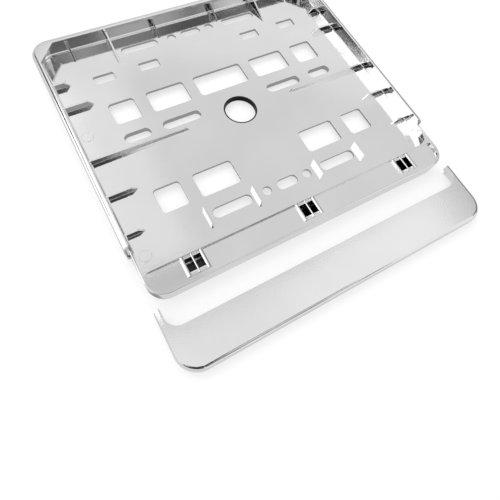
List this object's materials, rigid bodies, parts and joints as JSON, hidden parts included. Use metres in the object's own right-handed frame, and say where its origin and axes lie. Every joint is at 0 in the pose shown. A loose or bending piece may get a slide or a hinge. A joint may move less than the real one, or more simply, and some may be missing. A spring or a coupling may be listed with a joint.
{
  "type": "number plate holder",
  "caption": "Chrome-plated tray for a square vehicle plate, with a raised rim, ribs, windows and fixing slots, and its clip-in closing bar lying in front.",
  "frame": {"origin": "on the surface that the tray and the bar lie on, below the middle of the two together", "axes": "+Z out of the tray's face, +Y from the closing bar towards the tray's upper edge, +X to the right as the plate is read"},
  "size_m": [0.32, 0.3492, 0.0204],
  "materials": {
    "tray_plating": "bright electroplated plastic",
    "bar_plating": "bright electroplated plastic"
  },
  "bodies": {
    "root": {"holder_body": "tray_plating", "closing_bar": "bar_plating"}
  },
  "joints": []
}
